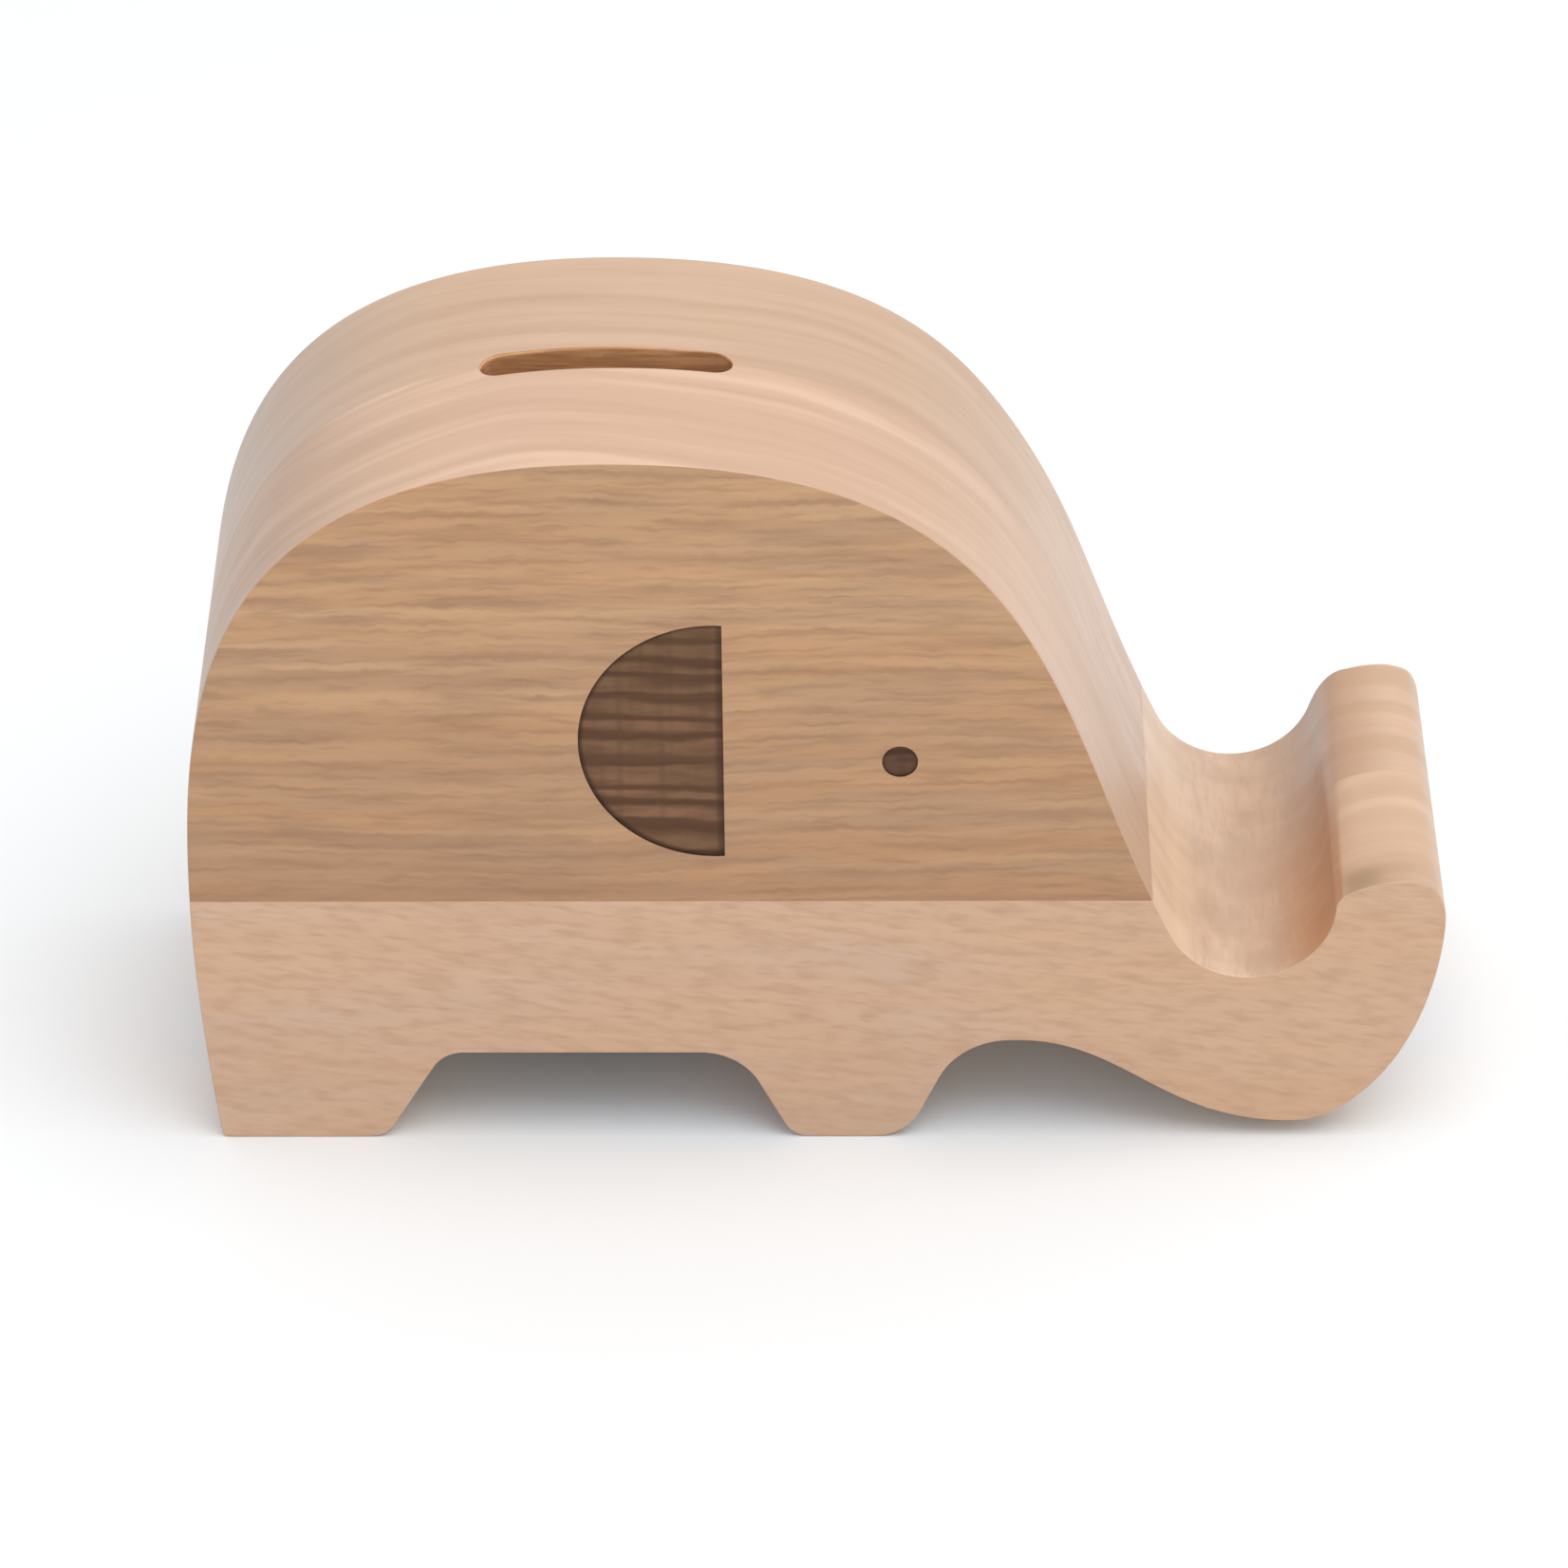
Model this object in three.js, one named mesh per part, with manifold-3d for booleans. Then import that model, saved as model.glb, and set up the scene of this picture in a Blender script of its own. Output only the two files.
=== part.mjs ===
// A wooden money box shaped like an elephant. Its curled trunk makes a rest for a phone or a pen.
// The body is a block of beech glued up from four boards: a lower and an upper one in the front
// half, and the same in the rear half. Each half is milled out from the glued face, so the two
// halves close round the coin chamber. A soft stopper under the belly lets the coins out.
//
// Units are millimetres. +X runs from the rump to the trunk, +Y from front to back, +Z up.
// The origin is on the ground, under the middle of the body. Outlines are drawn in X and Z.

import * as THREE from 'three';
import { mergeVertices, toCreasedNormals } from 'three/addons/utils/BufferGeometryUtils.js';
import Module from 'manifold-3d';

// Driving dimensions of the body
const LENGTH = 190.5;
const DEPTH = 64;
const HEIGHT = 120;
const GLUE_LINE = 43.75; // height of the joint between the lower and the upper boards
const BELLY = 15.75; // height of the flat belly between the legs
const THROAT = 18; // height of the arch between the front leg and the trunk

// Landmarks of the outline. A 'pull' is how far a curve is drawn out along its tangent.
const RUMP = { x: -LENGTH / 2, z: 41, pullUp: 38, pullDown: 12 };
const HEEL = { x: -92.4, round: 1.3, pull: { x: -93.9, z: 12 } }; // rear corner of the back foot
const CROWN = { x: -30.3, pullBack: 60.8, pullForward: 66 }; // where the back is highest
const BROW = { direction: radians(115.5), pull: 46 }; // runs up from the hollow of the trunk
const CRADLE = { x: 65.5, z: 42.8, radius: 13 }; // round hollow of the curled trunk

// Landmarks of the trunk: its lowest point, its outer side, and the crest and inner edge of its tip
const TRUNK_LOW = { x: 72.7, z: 2.9, pullIn: 20, pullOut: 2.8 };
const TRUNK_TURN = { x: 79.1, z: 4.6, pullIn: { x: 77.5, z: 3.5 }, pullUp: { x: 93, z: 13.2 } };
const TRUNK_SIDE = { x: LENGTH / 2, z: 39.8, pullDown: 5.6, pullUp: 4.3 };
const TIP = { x: 89.2, z: 47.2, pull: 4 };
const TIP_EDGE = { x: 79.4, z: 44.4, pull: { x: 81.6, z: 45.8 } };
const THROAT_END = { x: 30.6, pull: 16.4 };

// Legs: each side wall leaves the foot in a fillet and meets the arch in another
const BACK_LEG = { foot: -69.4, footRadius: 4, wall: radians(59), archRadius: 5.4, top: BELLY };
const FRONT_LEG = { foot: -1.4, footRadius: 4.3, wall: radians(63), archRadius: 10, top: BELLY };
const THROAT_SIDE = { foot: 8.5, footRadius: 7.7, wall: radians(65), archRadius: 12.1, top: THROAT };

// Coin chamber, coin slot and stopper hole
const WALL = 10; // wood left over the chamber, measured inwards from the outline
const FACE_WALL = 9; // wood left at the front and rear faces
const CHAMBER_FLOOR = 26.5;
const CHAMBER_END = { x: 36, z: 52 }; // the chamber stops short of the trunk
const CUTTER_RADIUS = 6;
const SLOT = { x: -31.3, length: 37.6, width: 5.9 };
const HOLE = { x: -36.4, radius: 15 };

// Ear and eye, burnt into both faces
const BURN_DEPTH = 0.4;
const EAR = { x: -15.3, z: 72.2, radius: 20.3, edge: -13.9 };
const EYE = { x: 12.5, z: 68.7, radius: 2.7 };

// Stopper, measured from the belly: the flange hangs below it and the plug stands above it
const FLANGE_RADIUS = 17.5;
const FLANGE_THICKNESS = 2;
const FLANGE_BEVEL = 0.7;
const PLUG_RADIUS = 14.7;
const PLUG_HEIGHT = 11;
const PLUG_WALL = 3;
const PLUG_FLOOR = 2;
const PLUG_BEVEL = 0.8;
const RIB = { heights: [3.8, 7.2], reach: 0.15, rise: 1 }; // low grip ribs round the plug
const DISH = { radius: 12.5, depth: 1 }; // finger dish under the flange
const GRIP = { length: 22, width: 3.6 };
const CROSS = { thickness: 2, height: 8.5 };

const CURVE_STEPS = 16;
const ROUND_STEPS = 48;
const CREASE = radians(20);

const wasm = await Module();
wasm.setup();

function radians(degrees) {
  return THREE.MathUtils.degToRad(degrees);
}

// --- Solids ---------------------------------------------------------------------------------

// A closed geometry as a solid that can be cut and joined.
function solid(geometry) {
  const bare = new THREE.BufferGeometry();
  bare.setAttribute('position', geometry.getAttribute('position'));
  bare.setIndex(geometry.index);
  const merged = mergeVertices(bare);
  return new wasm.Manifold(new wasm.Mesh({
    numProp: 3,
    vertProperties: merged.getAttribute('position').array,
    triVerts: new Uint32Array(merged.index.array),
  }));
}

// A solid as a geometry that shades smoothly along its curves.
function geometryOf(body) {
  const mesh = body.getMesh();
  const geometry = new THREE.BufferGeometry();
  geometry.setAttribute('position', new THREE.BufferAttribute(mesh.vertProperties, 3));
  geometry.setIndex(new THREE.BufferAttribute(mesh.triVerts, 1));
  return toCreasedNormals(geometry, CREASE);
}

// An outline in X and Z, made solid from y = from to y = to.
function slab(outline, from, to) {
  const geometry = new THREE.ExtrudeGeometry(outline, {
    depth: to - from,
    bevelEnabled: false,
    curveSegments: CURVE_STEPS,
  });
  geometry.rotateX(Math.PI / 2);
  geometry.translate(0, to, 0);
  return solid(geometry);
}

// A box given by its lowest and highest corners.
function block(low, high) {
  const size = high.map((value, axis) => value - low[axis]);
  const centre = high.map((value, axis) => (value + low[axis]) / 2);
  return solid(new THREE.BoxGeometry(...size).translate(...centre));
}

// --- Outlines -------------------------------------------------------------------------------

// The side of a leg, from the foot up to the arch, or the other way round if the wall falls.
function legSide(path, { foot, footRadius, wall, archRadius, top }, rising) {
  const turn = rising ? 1 : -1;
  const footStart = -Math.PI / 2;
  const footEnd = footStart + turn * wall;
  const archEnd = Math.PI / 2;
  const archStart = archEnd + turn * wall;
  const leave = footRadius * (1 - Math.cos(wall));
  const meet = top - archRadius * (1 - Math.cos(wall));
  const run = footRadius * Math.sin(wall) + (meet - leave) / Math.tan(wall);
  const archX = foot + turn * (run + archRadius * Math.sin(wall));
  if (rising) {
    path.absarc(foot, footRadius, footRadius, footStart, footEnd, false);
    path.absarc(archX, top - archRadius, archRadius, archStart, archEnd, true);
  } else {
    path.absarc(archX, top - archRadius, archRadius, archEnd, archStart, true);
    path.absarc(foot, footRadius, footRadius, footEnd, footStart, false);
  }
}

// The throat's arch, the underside of the trunk, its outer side and its tip.
function trunk(path) {
  const [low, turn, side, tip, edge] = [TRUNK_LOW, TRUNK_TURN, TRUNK_SIDE, TIP, TIP_EDGE];
  legSide(path, THROAT_SIDE, true);
  path.lineTo(THROAT_END.x, THROAT);
  path.bezierCurveTo(THROAT_END.x + THROAT_END.pull, THROAT, low.x - low.pullIn, low.z, low.x, low.z);
  path.bezierCurveTo(low.x + low.pullOut, low.z, turn.pullIn.x, turn.pullIn.z, turn.x, turn.z);
  path.bezierCurveTo(turn.pullUp.x, turn.pullUp.z, side.x, side.z - side.pullDown, side.x, side.z);
  path.bezierCurveTo(side.x, side.z + side.pullUp, tip.x + tip.pull, tip.z, tip.x, tip.z);
  path.bezierCurveTo(tip.x - tip.pull, tip.z, edge.pull.x, edge.pull.z, edge.x, edge.z);
}

// The hollow of the trunk, round to where it runs straight into the brow.
function cradle(path) {
  const end = BROW.direction + Math.PI / 2;
  path.absarc(CRADLE.x, CRADLE.z, CRADLE.radius, 0, end, true);
}

// The brow, the back and the rump, drawn from 'start' as one line that lies inset in the outline.
function back(path, start, inset) {
  const shrink = 1 - inset / (HEIGHT - RUMP.z);
  const browPull = BROW.pull * shrink;
  const top = HEIGHT - inset;
  const rear = RUMP.x + inset;
  path.bezierCurveTo(
    start.x + browPull * Math.cos(BROW.direction), start.z + browPull * Math.sin(BROW.direction),
    CROWN.x + CROWN.pullForward * shrink, top,
    CROWN.x, top,
  );
  path.bezierCurveTo(
    CROWN.x - CROWN.pullBack * shrink, top,
    rear, RUMP.z + RUMP.pullUp * shrink,
    rear, RUMP.z,
  );
}

// The whole elephant from the side.
function bodyOutline() {
  const lean = (HEEL.pull.x - HEEL.x) / HEEL.pull.z;
  const heelTop = { x: HEEL.x + lean * HEEL.round, z: HEEL.round };
  const outline = new THREE.Shape();
  outline.moveTo(HEEL.x + HEEL.round, 0);
  legSide(outline, BACK_LEG, true);
  legSide(outline, FRONT_LEG, false);
  trunk(outline);
  cradle(outline);
  back(outline, { x: outline.currentPoint.x, z: outline.currentPoint.y }, 0);
  outline.bezierCurveTo(RUMP.x, RUMP.z - RUMP.pullDown, HEEL.pull.x, HEEL.pull.z, heelTop.x, heelTop.z);
  outline.quadraticCurveTo(HEEL.x, 0, HEEL.x + HEEL.round, 0);
  return outline;
}

// The coin chamber: it follows the back and is square to the belly.
function chamberOutline() {
  const corner = CHAMBER_FLOOR + CUTTER_RADIUS;
  const rear = RUMP.x + WALL + CUTTER_RADIUS;
  const front = CHAMBER_END.x - CUTTER_RADIUS;
  const outline = new THREE.Shape();
  outline.absarc(rear, corner, CUTTER_RADIUS, Math.PI, 1.5 * Math.PI, false);
  outline.absarc(front, corner, CUTTER_RADIUS, 1.5 * Math.PI, 2 * Math.PI, false);
  outline.lineTo(CHAMBER_END.x, CHAMBER_END.z);
  back(outline, CHAMBER_END, WALL);
  outline.closePath();
  return outline;
}

// The ear: the part of a disc behind a straight upright edge.
function earOutline() {
  const half = Math.acos((EAR.edge - EAR.x) / EAR.radius);
  const outline = new THREE.Shape();
  outline.absarc(EAR.x, EAR.z, EAR.radius, half, 2 * Math.PI - half, false);
  outline.closePath();
  return outline;
}

function eyeOutline() {
  const outline = new THREE.Shape();
  outline.absarc(EYE.x, EYE.z, EYE.radius, 0, 2 * Math.PI, false);
  return outline;
}

// --- Body -----------------------------------------------------------------------------------

// The coin slot, a long hole with round ends that goes down through the back.
function slotCutter() {
  const radius = SLOT.width / 2;
  const reach = (SLOT.length - SLOT.width) / 2;
  const outline = new THREE.Shape();
  outline.absarc(SLOT.x + reach, 0, radius, -Math.PI / 2, Math.PI / 2, false);
  outline.absarc(SLOT.x - reach, 0, radius, Math.PI / 2, 1.5 * Math.PI, false);
  outline.closePath();
  const geometry = new THREE.ExtrudeGeometry(outline, {
    depth: 2 * WALL,
    bevelEnabled: false,
    curveSegments: CURVE_STEPS / 2,
  });
  return solid(geometry.translate(0, 0, HEIGHT - 1.5 * WALL));
}

function holeCutter() {
  const height = 2 * (CHAMBER_FLOOR - BELLY);
  const geometry = new THREE.CylinderGeometry(HOLE.radius, HOLE.radius, height, ROUND_STEPS);
  geometry.rotateX(Math.PI / 2);
  geometry.translate(HOLE.x, 0, (CHAMBER_FLOOR + BELLY) / 2);
  return solid(geometry);
}

// Ear and eye cutters, standing half in the wood and half out of the front and the rear face.
function burnCutters() {
  const cutters = [];
  for (const face of [-DEPTH / 2, DEPTH / 2]) {
    for (const outline of [earOutline(), eyeOutline()]) {
      cutters.push(slab(outline, face - BURN_DEPTH, face + BURN_DEPTH));
    }
  }
  return cutters;
}

// The glued and machined block, before it is seen as four boards.
function glueUp() {
  const half = DEPTH / 2 - FACE_WALL;
  const cutters = [slab(chamberOutline(), -half, half), slotCutter(), holeCutter(), ...burnCutters()];
  return cutters.reduce((body, cutter) => body.subtract(cutter), slab(bodyOutline(), -DEPTH / 2, DEPTH / 2));
}

// The block's front or rear half, and in it the lower board, which carries the legs and the
// whole trunk, and the upper board, which stands on it behind the cradle.
function boards() {
  const whole = glueUp();
  const upperSpace = block([-LENGTH, -DEPTH, GLUE_LINE], [CRADLE.x, DEPTH, 2 * HEIGHT]);
  const halves = {
    front: block([-LENGTH, -DEPTH, -HEIGHT], [LENGTH, 0, 2 * HEIGHT]),
    rear: block([-LENGTH, 0, -HEIGHT], [LENGTH, DEPTH, 2 * HEIGHT]),
  };
  return Object.entries(halves).flatMap(([side, space]) => {
    const half = whole.intersect(space);
    return [
      { name: `${side}_lower_board`, body: half.subtract(upperSpace), colour: 0xcba890 },
      { name: `${side}_upper_board`, body: half.intersect(upperSpace), colour: 0xbe9776 },
    ];
  });
}

// --- Stopper --------------------------------------------------------------------------------

// The outside of the plug, with its low grip ribs, as radius and height.
function plugSide() {
  const ribs = RIB.heights.flatMap((middle) => [
    new THREE.Vector2(PLUG_RADIUS, middle - RIB.rise),
    new THREE.Vector2(PLUG_RADIUS + RIB.reach, middle),
    new THREE.Vector2(PLUG_RADIUS, middle + RIB.rise),
  ]);
  return [
    new THREE.Vector2(PLUG_RADIUS, 0),
    ...ribs,
    new THREE.Vector2(PLUG_RADIUS, PLUG_HEIGHT - PLUG_BEVEL),
    new THREE.Vector2(PLUG_RADIUS - PLUG_BEVEL, PLUG_HEIGHT),
  ];
}

// A soft cup with a flange. The cup opens upwards, and the flange is dished underneath.
function stopperShell() {
  const under = -FLANGE_THICKNESS;
  const inner = PLUG_RADIUS - PLUG_WALL;
  const profile = [
    new THREE.Vector2(0, under + DISH.depth),
    new THREE.Vector2(DISH.radius - DISH.depth, under + DISH.depth),
    new THREE.Vector2(DISH.radius, under),
    new THREE.Vector2(FLANGE_RADIUS - FLANGE_BEVEL, under),
    new THREE.Vector2(FLANGE_RADIUS, under + FLANGE_BEVEL),
    new THREE.Vector2(FLANGE_RADIUS, 0),
    ...plugSide(),
    new THREE.Vector2(inner, PLUG_HEIGHT),
    new THREE.Vector2(inner, PLUG_FLOOR),
    new THREE.Vector2(0, PLUG_FLOOR),
  ];
  return solid(new THREE.LatheGeometry(profile, ROUND_STEPS).rotateX(Math.PI / 2));
}

// The bar across the dish that the fingers pull, and the crossed webs that stiffen the cup.
function stopperStiffeners() {
  const reach = PLUG_RADIUS - PLUG_WALL / 2;
  const half = CROSS.thickness / 2;
  const [gripX, gripY] = [GRIP.length / 2, GRIP.width / 2];
  return [
    block([-gripX, -gripY, -FLANGE_THICKNESS], [gripX, gripY, 0]),
    block([-reach, -half, 0], [reach, half, CROSS.height]),
    block([-half, -reach, 0], [half, reach, CROSS.height]),
  ];
}

function stopper() {
  return stopperStiffeners()
    .reduce((body, piece) => body.add(piece), stopperShell())
    .translate([HOLE.x, 0, BELLY]);
}

// --- Assembly -------------------------------------------------------------------------------

function oiledBeech(colour) {
  return new THREE.MeshStandardMaterial({ color: colour, roughness: 0.6, metalness: 0 });
}

function softRubber() {
  return new THREE.MeshStandardMaterial({ color: 0x2b2a29, roughness: 0.75, metalness: 0 });
}

function named(name, body, material) {
  const mesh = new THREE.Mesh(geometryOf(body), material);
  mesh.name = name;
  return mesh;
}

const moneyBox = new THREE.Group();
for (const { name, body, colour } of boards()) {
  moneyBox.add(named(name, body, oiledBeech(colour)));
}
moneyBox.add(named('stopper', stopper(), softRubber()));

export default moneyBox;
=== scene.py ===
import math

import bmesh
import bpy
from mathutils import Matrix, Vector


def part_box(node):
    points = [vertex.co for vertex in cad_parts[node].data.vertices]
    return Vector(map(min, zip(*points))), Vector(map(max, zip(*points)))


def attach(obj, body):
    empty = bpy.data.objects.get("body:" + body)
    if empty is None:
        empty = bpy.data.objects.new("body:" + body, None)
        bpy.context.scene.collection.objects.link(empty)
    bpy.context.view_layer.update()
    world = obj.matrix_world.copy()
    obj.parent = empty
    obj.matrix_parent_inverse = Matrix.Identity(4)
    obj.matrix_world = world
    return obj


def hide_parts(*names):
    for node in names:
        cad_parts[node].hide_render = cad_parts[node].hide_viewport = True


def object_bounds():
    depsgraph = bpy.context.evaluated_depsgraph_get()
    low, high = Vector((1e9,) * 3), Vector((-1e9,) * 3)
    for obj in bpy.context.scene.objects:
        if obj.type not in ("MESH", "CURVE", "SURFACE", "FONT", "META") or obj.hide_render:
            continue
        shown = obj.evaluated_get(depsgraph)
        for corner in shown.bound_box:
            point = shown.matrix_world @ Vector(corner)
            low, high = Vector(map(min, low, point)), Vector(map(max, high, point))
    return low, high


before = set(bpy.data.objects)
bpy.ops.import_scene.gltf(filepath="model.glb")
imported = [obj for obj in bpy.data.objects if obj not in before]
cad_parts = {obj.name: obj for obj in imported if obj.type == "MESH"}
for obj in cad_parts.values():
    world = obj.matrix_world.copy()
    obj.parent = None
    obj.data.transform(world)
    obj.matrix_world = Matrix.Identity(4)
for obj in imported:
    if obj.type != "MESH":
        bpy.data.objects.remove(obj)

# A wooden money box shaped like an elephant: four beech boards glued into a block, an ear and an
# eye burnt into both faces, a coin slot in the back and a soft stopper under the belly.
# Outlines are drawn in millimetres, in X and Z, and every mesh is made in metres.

cad_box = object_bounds()

MM = 0.001

# --- Sizes taken from the frame, in millimetres ------------------------------------------------


def in_millimetres(box):
    return [[value / MM for value in corner] for corner in box]


BODY_LOW, BODY_HIGH = in_millimetres(cad_box)
UPPER_LOW, _ = in_millimetres(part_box("front_upper_board"))
STOPPER_LOW, STOPPER_HIGH = in_millimetres(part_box("stopper"))

DEPTH = BODY_HIGH[1] - BODY_LOW[1]
HEIGHT = BODY_HIGH[2]
FACE = DEPTH / 2
GLUE_LINE = UPPER_LOW[2]
FLANGE_THICKNESS = 2.0
BELLY = STOPPER_LOW[2] + FLANGE_THICKNESS
THROAT = 18.0

# --- Landmarks of the outline and of what is cut into it, in millimetres -------------------------

RUMP = {"x": BODY_LOW[0], "z": 41, "pull_up": 38, "pull_down": 12}
HEEL = {"x": -92.4, "round": 1.3, "pull": (-93.9, 12)}
CROWN = {"x": -30.3, "pull_back": 60.8, "pull_forward": 66}
BROW = {"direction": math.radians(115.5), "pull": 46}
CRADLE = {"x": 65.5, "z": 42.8, "radius": 13}
TRUNK_LOW = {"x": 72.7, "z": 2.9, "pull_in": 20, "pull_out": 2.8}
TRUNK_TURN = {"x": 79.1, "z": 4.6, "pull_in": (77.5, 3.5), "pull_up": (93, 13.2)}
TRUNK_SIDE = {"x": BODY_HIGH[0], "z": 39.8, "pull_down": 5.6, "pull_up": 4.3}
TIP = {"x": 89.2, "z": 47.2, "pull": 4}
TIP_EDGE = {"x": 79.4, "z": 44.4, "pull": (81.6, 45.8)}
# how the rear face differs: its trunk tip is worn down and its back leans towards the rump, more
# and more between two heights
WORN = {"top": 84.4, "wall": 39, "corner": (79.9, 45.3), "depth": 0.6}
LEAN = {"shift": -1.0, "rump": (42, 70), "brow": (70, 100)}
THROAT_END = {"x": 30.6, "pull": 16.4}

BACK_LEG = {"foot": -69.4, "foot_radius": 4, "wall": 59, "arch_radius": 5.4, "top": BELLY}
FRONT_LEG = {"foot": -1.4, "foot_radius": 4.3, "wall": 63, "arch_radius": 10, "top": BELLY}
THROAT_SIDE = {"foot": 8.5, "foot_radius": 7.7, "wall": 65, "arch_radius": 12.1, "top": THROAT}

WALL = 10
FACE_WALL = 9
CHAMBER_FLOOR = 26.5
CHAMBER_END = (36, 52)
CUTTER_RADIUS = 6
SLOT = {"x": -31.3, "length": 37.6, "width": 5.9}
HOLE_X = (STOPPER_LOW[0] + STOPPER_HIGH[0]) / 2
HOLE_RADIUS = 15

BURN_DEPTH = 0.4
EAR = {"x": -15.3, "z": 72.2, "radius": 20.3, "edge": -13.9}
EYE = {"x": 12.5, "z": 68.7, "radius": 2.7}

STEP = 0.7  # spacing of the points along an outline
EDGE_RADIUS = 0.3  # softening of the sawn edges
EDGE_STEPS = 4
DEPTH_STEPS = 8  # layers of points from one face of a board to the other
CURVE_SAMPLES = 200
CORNER_SHARE = 0.45  # the most of a side that a rounded corner may take
SHARP_CORNER = math.radians(25)  # corners sharper than this are softened
SAME_POINT = 0.02
SLOT_EASE = 0.35  # rounding of the slot's rim
SLOT_DEPTH = 15
HOLE_EASE = 0.4  # chamfer of the hole's rim
OVERSHOOT = {"slot": 3, "belly": 2, "chamber": 5}  # how far the cutters run past a surface

# --- Curves ------------------------------------------------------------------------------------


def bezier(a, b, c, d):
    """Evenly spaced points along a cubic curve, without its first point."""
    points = []
    for i in range(CURVE_SAMPLES + 1):
        t = i / CURVE_SAMPLES
        u = 1 - t
        weights = (u**3, 3 * u * u * t, 3 * u * t * t, t**3)
        points.append(tuple(sum(w * p[k] for w, p in zip(weights, (a, b, c, d))) for k in (0, 1)))
    return evenly(points)[1:]


def evenly(points):
    """The same path with points about one STEP apart."""
    lengths = [0.0]
    for a, b in zip(points, points[1:]):
        lengths.append(lengths[-1] + math.dist(a, b))
    count = max(2, round(lengths[-1] / STEP))
    out = []
    j = 0
    for i in range(count + 1):
        target = lengths[-1] * i / count
        while j < len(lengths) - 2 and lengths[j + 1] < target:
            j += 1
        span = lengths[j + 1] - lengths[j]
        t = (target - lengths[j]) / span if span else 0
        out.append(tuple(p + t * (q - p) for p, q in zip(points[j], points[j + 1])))
    return out


def arc(x, z, radius, start, end):
    """Points along an arc, ends included."""
    count = max(4, math.ceil(abs(end - start) * radius / STEP))
    angles = [start + (end - start) * i / count for i in range(count + 1)]
    return [(x + radius * math.cos(a), z + radius * math.sin(a)) for a in angles]


def leg_side(leg, rising):
    """The side of a leg, from the foot up to the arch, or the other way round if the wall falls."""
    turn = 1 if rising else -1
    wall = math.radians(leg["wall"])
    foot, foot_radius = leg["foot"], leg["foot_radius"]
    arch_radius, top = leg["arch_radius"], leg["top"]
    leave = foot_radius * (1 - math.cos(wall))
    meet = top - arch_radius * (1 - math.cos(wall))
    run = foot_radius * math.sin(wall) + (meet - leave) / math.tan(wall)
    arch_x = foot + turn * (run + arch_radius * math.sin(wall))
    low = arc(foot, foot_radius, foot_radius, -math.pi / 2, -math.pi / 2 + turn * wall)
    high = arc(arch_x, top - arch_radius, arch_radius, math.pi / 2 + turn * wall, math.pi / 2)
    side = low + evenly([low[-1], high[0]])[1:-1] + high
    return side if rising else side[::-1]


def back(start, inset):
    """The brow, the back and the rump, drawn from 'start' as a line inset in the outline."""
    shrink = 1 - inset / (HEIGHT - RUMP["z"])
    pull = BROW["pull"] * shrink
    top = HEIGHT - inset
    rear = RUMP["x"] + inset
    direction = BROW["direction"]
    brow = (start[0] + pull * math.cos(direction), start[1] + pull * math.sin(direction))
    crown = (CROWN["x"], top)
    front = bezier(start, brow, (CROWN["x"] + CROWN["pull_forward"] * shrink, top), crown)
    rump = bezier(
        crown,
        (CROWN["x"] - CROWN["pull_back"] * shrink, top),
        (rear, RUMP["z"] + RUMP["pull_up"] * shrink),
        (rear, RUMP["z"]),
    )
    return front + rump


def straight(a, b):
    return evenly([a, b])[1:]


def rounded_corner(before, tip, after, radius):
    """A small arc that takes a corner off, between the points before and after it."""
    d1 = (Vector(before) - Vector(tip)).normalized()
    d2 = (Vector(after) - Vector(tip)).normalized()
    start, end = Vector(tip) + d1 * radius, Vector(tip) + d2 * radius
    points = []
    for t in (0, 0.25, 0.5, 0.75, 1):
        points.append(tuple((1 - t) ** 2 * start + 2 * t * (1 - t) * Vector(tip) + t * t * end))
    return points


def body_outline():
    """The whole elephant from the side, anticlockwise from the heel."""
    lean = (HEEL["pull"][0] - HEEL["x"]) / HEEL["pull"][1]
    heel_top = (HEEL["x"] + lean * HEEL["round"], HEEL["round"])
    heel = rounded_corner(heel_top, (HEEL["x"], 0), (0, 0), HEEL["round"])
    points = heel + straight(heel[-1], (BACK_LEG["foot"], 0))[:-1]
    points += leg_side(BACK_LEG, True)
    front_leg = leg_side(FRONT_LEG, False)
    points += straight(points[-1], front_leg[0])[:-1] + front_leg
    points += straight(points[-1], (THROAT_SIDE["foot"], 0))[:-1]
    points += leg_side(THROAT_SIDE, True)
    points += straight(points[-1], (THROAT_END["x"], THROAT))
    points += trunk(points[-1])
    hollow_end = BROW["direction"] + math.pi / 2 - 2 * math.pi
    hollow = arc(CRADLE["x"], CRADLE["z"], CRADLE["radius"], 0, hollow_end)
    points += straight(points[-1], hollow[0])[:-1] + hollow
    points += back(points[-1], 0)
    rump_pull = (RUMP["x"], RUMP["z"] - RUMP["pull_down"])
    points += bezier(points[-1], rump_pull, HEEL["pull"], heel_top)[:-1]
    return points


def trunk(start):
    """The trunk, from under the throat round its outer side to the inner edge of its tip."""
    low, turn, side = TRUNK_LOW, TRUNK_TURN, TRUNK_SIDE
    tip, edge = TIP, TIP_EDGE
    curves = [
        ((THROAT_END["x"] + THROAT_END["pull"], THROAT), (low["x"] - low["pull_in"], low["z"]), low),
        ((low["x"] + low["pull_out"], low["z"]), turn["pull_in"], turn),
        (turn["pull_up"], (side["x"], side["z"] - side["pull_down"]), side),
        ((side["x"], side["z"] + side["pull_up"]), (tip["x"] + tip["pull"], tip["z"]), tip),
        ((tip["x"] - tip["pull"], tip["z"]), edge["pull"], edge),
    ]
    points = []
    for first_pull, second_pull, end in curves:
        points += bezier(start, first_pull, second_pull, (end["x"], end["z"]))
        start = points[-1]
    return points


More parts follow.
